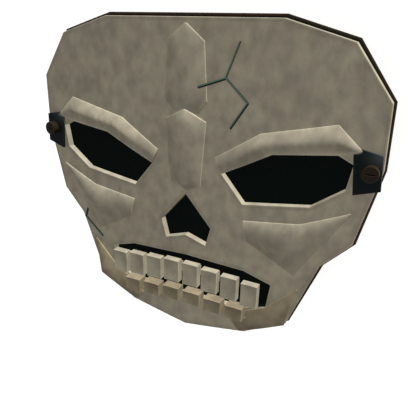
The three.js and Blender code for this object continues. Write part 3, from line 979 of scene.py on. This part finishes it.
# %% Forehead and nose ridges
FOREHEAD_RIDGE = [
    [(0.7, 93.0, 0.6), (0.0, 93.0, 0.8), (-0.7, 93.0, 0.6)],
    [(11.2, 84.5, 0.6), (0.0, 84.5, 3.6), (-11.2, 84.5, 0.6)],
    [(12.1, 69.5, 0.6), (0.0, 69.5, 3.8), (-12.1, 69.5, 0.6)],
    [(13.1, 54.4, 0.6), (0.0, 54.4, 4.0), (-13.1, 54.4, 0.6)],
    [(7.6, 47.1, 0.5), (0.0, 47.1, 1.4), (-7.6, 47.1, 0.5)],
]
NOSE_RIDGE = [
    [(0.7, 49.3, 1.5), (0.0, 49.3, 1.6), (-0.7, 49.3, 1.2)],
    [(12.9, 43.3, 0.6), (0.0, 43.3, 5.4), (-12.9, 43.3, 0.25)],
    [(11.4, 24.8, 0.6), (0.0, 24.8, 4.6), (-11.4, 24.8, 0.6)],
    [(9.9, 6.4, 0.6), (0.0, 6.4, 3.8), (-9.9, 6.4, 0.6)],
    [(0.7, 1.9, 0.5), (0.0, 1.9, 0.6), (-0.7, 1.9, 0.5)],
]
forehead_cut = cut_away(section_outline(FOREHEAD_RIDGE), grown(section_outline(NOSE_RIDGE), GAP))
nose_slab = relief(NOSE_RIDGE)
piece("nose_ridge_relief", [nose_slab], bone_paint, "nose_ridge")
forehead_slab = relief(FOREHEAD_RIDGE, forehead_cut)
piece("forehead_ridge_relief", [forehead_slab], bone_paint, "forehead_ridge")

# %% [markdown]
# ## Jaw plates and lower teeth
# The lower teeth are brown blocks on the lip below the mouth, and a brown plate runs from each
# outer one along the jaw. The plate is cut away where the tooth stands.

# %% Jaw plates and lower teeth
JAW_PLATE = [
    [(31.7, -77.3, 0.15), (34.6, -80.8, 0.9), (38.4, -84.6, 0.5)],
    [(41.5, -68.5, 0.2), (47.4, -73.6, 3.2), (52.6, -77.8, 1.4)],
    [(53.5, -62.8, 0.6), (60.6, -66.4, 4.2), (66.4, -70.2, 3.0)],
    [(70.9, -45.6, 0.7), (71.3, -46.4, 0.9), (71.1, -47.2, 0.7)],
]
LOWER_TEETH = [(1.7, 13.1, -62.5), (16.2, 27.5, -63.6), (30.8, 41.6, -64.2)]  # inner, outer, top
LOWER_FRONT, LOWER_HEIGHT = 6.5, 8.5
TOOTH_HOLLOW = 0.25  # how far a tooth's front is worn hollow, halfway along each edge


def box_outline(x0, x1, y0, y1):
    return [(x0, y0), (x1, y0), (x1, y1), (x0, y1)]


def tooth_front(x0, x1, y0, y1, level):
    """The front of a tooth, worn slightly hollow."""

    def front(x, y):
        across = (2 * x - x0 - x1) / (x1 - x0)
        upward = (2 * y - y0 - y1) / (y1 - y0)
        return level - TOOTH_HOLLOW * (2 - across**2 - upward**2)

    return front


def whole_row(right_half):
    """Inner edge, outer edge and top of each tooth, from the viewer's left."""
    left_half = [(-outer, -inner, top) for inner, outer, top in reversed(right_half)]
    return left_half + list(right_half)


for i, (x0, x1, top) in enumerate(whole_row(LOWER_TEETH), 1):
    block = (x0, x1, top - LOWER_HEIGHT, top)
    crown = slab(
        box_outline(*block), tooth_front(*block, LOWER_FRONT), follows_bow(GLUED),
        rounding=CAST_ROUND, spacing=CAST_STEP,
    )
    piece(f"lower_tooth_block_{i}", [crown], brown_paint, f"lower_tooth_{i}", rub=0.2)

for side, placed in HALVES.items():
    rows = placed(JAW_PLATE)
    inner, outer, top = whole_row(LOWER_TEETH)[0 if side == "left" else -1]
    tooth = box_outline(inner - GAP, outer + GAP, top - LOWER_HEIGHT - GAP, top + GAP)
    cut = cut_away(section_outline(rows), tooth)
    jaw_slab = relief(rows, cut)
    piece("jaw_relief_" + side, [jaw_slab], brown_paint, "jaw_plate_" + side)

# %% [markdown]
# ## Upper teeth
# The upper teeth are bone-coloured blocks that hang free in the mouth, each on a root post that
# reaches back to the plate. Crown and post are two slabs, face to face, in one piece.

# %% Upper teeth
UPPER_TEETH = [(1.4, 11.7, -42.7), (14.2, 24.5, -43.8), (27.1, 37.4, -44.8), (40.2, 50.3, -46.1)]
UPPER_BACK, UPPER_FRONT, UPPER_HEIGHT = 2, 6.6, 14.8
POST_WIDTH, POST_TOP, POST_HEIGHT = 5.5, 4.6, 6.5


def crown_back(x, y):
    """The flat back of a crown, where its post starts."""
    return UPPER_BACK + 0 * x


for i, (x0, x1, top) in enumerate(whole_row(UPPER_TEETH), 1):
    block = (x0, x1, top - UPPER_HEIGHT, top)
    crown = slab(
        box_outline(*block), tooth_front(*block, UPPER_FRONT), crown_back,
        rounding=CAST_ROUND, spacing=CAST_STEP,
    )
    middle = (x0 + x1) / 2
    root = box_outline(
        middle - POST_WIDTH / 2, middle + POST_WIDTH / 2, top - POST_TOP - POST_HEIGHT, top - POST_TOP
    )
    post = slab(root, crown_back, follows_bow(PLATE_FRONT + GAP), rounding=0.2, spacing=1.5)
    piece(f"upper_tooth_block_{i}", [crown, post], bone_paint, f"upper_tooth_{i}", rub=0.2)

# %% [markdown]
# ## Strap lugs and screws
# A steel lug sits at each temple, notched for the end of the brow, with a counterbore for its screw.
# The screw's head has a chamfer and a blind slot. A blind hole is a slab with a hole right through,
# and a lower plug that closes it.

# %% Lugs and screws
LUG = [(90.8, 39.1), (93.4, 15.0), (106.2, 18.6), (104.9, 36.3)]
LUG_TOP = 1.8
SCREW_X, SCREW_Y, SCREW_RADIUS, SCREW_SUNK, SCREW_HEIGHT = 100.5, 27.6, 4.15, 0.6, 4.1
SLOT_LENGTH, SLOT_WIDTH, SLOT_DEPTH = 4.6, 0.8, 0.9
CIRCLE_SIDES = 48
HIGHLIGHT_CORNERS = {"left": (-91.5, 39.0), "right": (104.9, 36.3)}  # the corner that carries a painted highlight on the lacquer
HIGHLIGHT_REACH = 13
BELOW_FACE = 0.1  # how far below the screw's face the painted shade in its slot starts
SLOT_REACH = 0.6  # share of the slot's length, from the middle, that painted shade can lie in


def circle(x, y, radius):
    turns = np.arange(CIRCLE_SIDES) * 2 * math.pi / CIRCLE_SIDES
    return np.column_stack([x + radius * np.cos(turns), y + radius * np.sin(turns)])


for side, sign in (("left", -1), ("right", 1)):
    lug = LUG if sign > 0 else mirrored(LUG)
    plate = cut_away(lug, grown(brow_outlines[side], GAP))
    bore = circle(sign * SCREW_X, SCREW_Y, SCREW_RADIUS + GAP)
    steel = slab(plate, follows_bow(LUG_TOP), follows_bow(GAP), [bore[::-1]], rounding=0.1, spacing=0.9)
    bore_floor = slab(bore, follows_bow(LUG_TOP - SCREW_SUNK), follows_bow(GAP), rounding=0.02, spacing=0.9)

    def painted_highlight(points, corner=HIGHLIGHT_CORNERS[side]):
        """A painted highlight on the lacquer, which fades away from the corner."""
        away = np.hypot(points[:, 0] - corner[0], points[:, 1] - corner[1])
        return np.clip(1 - away / HIGHLIGHT_REACH, 0, 1) ** 2

    piece(
        "lug_plate_" + side, [steel, bore_floor], lacquer, "strap_lug_" + side,
        rub=0.1, highlight=painted_highlight,
    )

    seat = LUG_TOP - SCREW_SUNK + GAP
    head_outline = circle(sign * SCREW_X, SCREW_Y, SCREW_RADIUS)
    slot = box_outline(
        sign * SCREW_X - SLOT_LENGTH / 2, sign * SCREW_X + SLOT_LENGTH / 2,
        SCREW_Y - SLOT_WIDTH / 2, SCREW_Y + SLOT_WIDTH / 2,
    )
    top = follows_bow(seat + SCREW_HEIGHT)
    head = slab(head_outline, top, follows_bow(seat), [slot[::-1]], rounding=0.15, spacing=0.4)
    slot_floor = slab(
        slot, follows_bow(seat + SCREW_HEIGHT - SLOT_DEPTH), follows_bow(seat), rounding=0.02, spacing=0.4
    )

    def in_slot(distance, points, level=seat + SCREW_HEIGHT):
        """Marks what lies below the face of the screw, in its slot, for painted shade."""
        low = points[:, 2] < bow(points[:, 0]) + level - BELOW_FACE
        middle = np.hypot(np.abs(points[:, 0]) - SCREW_X, points[:, 1] - SCREW_Y) < SLOT_LENGTH * SLOT_REACH
        return 1.0 * (low & middle)

    piece(
        "screw_head_" + side, [head, slot_floor], browned, "lug_screw_" + side,
        rub=0.45, painted_shade=in_slot,
    )

# %% [markdown]
# ## Cracks
# The cracks are straight strokes that join at their ends. Each stroke is a narrow box, and the
# region that they cover together gives one outline for the whole bead. On the forehead one stroke
# climbs on to the ridge, so its top rises on the way.

# %% Cracks
CRACK_WIDTH, CRACK_TOP = 0.8, 1.0
# height and offset of the flat strip of painted shadow below the bead
SHADOW_TOP = 0.1
SHADOW_SHIFT = np.array([0.15, -0.65])
FORK, CLIMB_END, CLIMB_TOP = (23.5, 67.3), (8.8, 62.2), 3.2
BEND, CHEEK_BEND = (36.0, 55.6), (-79.6, -31.1)
FOREHEAD_STROKES = [((30.4, 84.7), FORK), (FORK, BEND), (BEND, (27.0, 42.0)), (FORK, CLIMB_END)]
CHEEK_STROKES = [((-77.4, -25.5), CHEEK_BEND), (CHEEK_BEND, (-65.6, -42.4))]


def stroke(start, end):
    """A narrow box from point to point, with half its width added at each end."""
    start, end = np.array(start), np.array(end)
    along = (end - start) / np.linalg.norm(end - start) * CRACK_WIDTH / 2
    across = np.array([-along[1], along[0]])
    ends = ((start - along, -1), (end + along, -1), (end + along, 1), (start - along, 1))
    return [tuple(place + sign * across) for place, sign in ends]


def climbing(x, y):
    """The top of the forehead bead, which rises from the fork to the ridge."""
    run = np.array(CLIMB_END) - np.array(FORK)
    share = ((x - FORK[0]) * run[0] + (y - FORK[1]) * run[1]) / (run @ run)
    branch = np.clip(share, 0, 1) * (x < FORK[0] - CRACK_WIDTH / 2)
    return bow(x) + CRACK_TOP + branch * (CLIMB_TOP - CRACK_TOP)


def joined(*flags):
    return np.any(flags, axis=0)


for name, strokes, shadowed_strokes, top in (
    ("forehead", FOREHEAD_STROKES, FOREHEAD_STROKES[1:], climbing),
    ("cheek", CHEEK_STROKES, CHEEK_STROKES, follows_bow(CRACK_TOP)),
):
    outline = region([stroke(*ends) for ends in strokes], joined)
    bead = slab(outline, top, follows_bow(GLUED), rounding=0.25, spacing=0.5)
    # a flat strip under the lower side of most strokes is a painted shadow
    foot = region([stroke(*ends) for ends in shadowed_strokes], joined)
    shifted = [tuple(np.array(corner) + SHADOW_SHIFT) for corner in foot]

    def shadow_strip_top(x, y, top=top):
        return top(x, y) - CRACK_TOP + SHADOW_TOP

    def painted_shadow_and_shade(distance, points, top=top):
        """Marks the painted shadow strip and the walls of the bead, which are painted black as shade."""
        return 1.0 * (points[:, 2] < top(points[:, 0], points[:, 1]) - SHADOW_TOP)

    shadow_strip = slab(shifted, shadow_strip_top, follows_bow(GLUED), rounding=0.03, spacing=0.5)
    piece("crack_bead_" + name, [bead, shadow_strip], crack_paint, "crack_" + name, painted_shade=painted_shadow_and_shade)
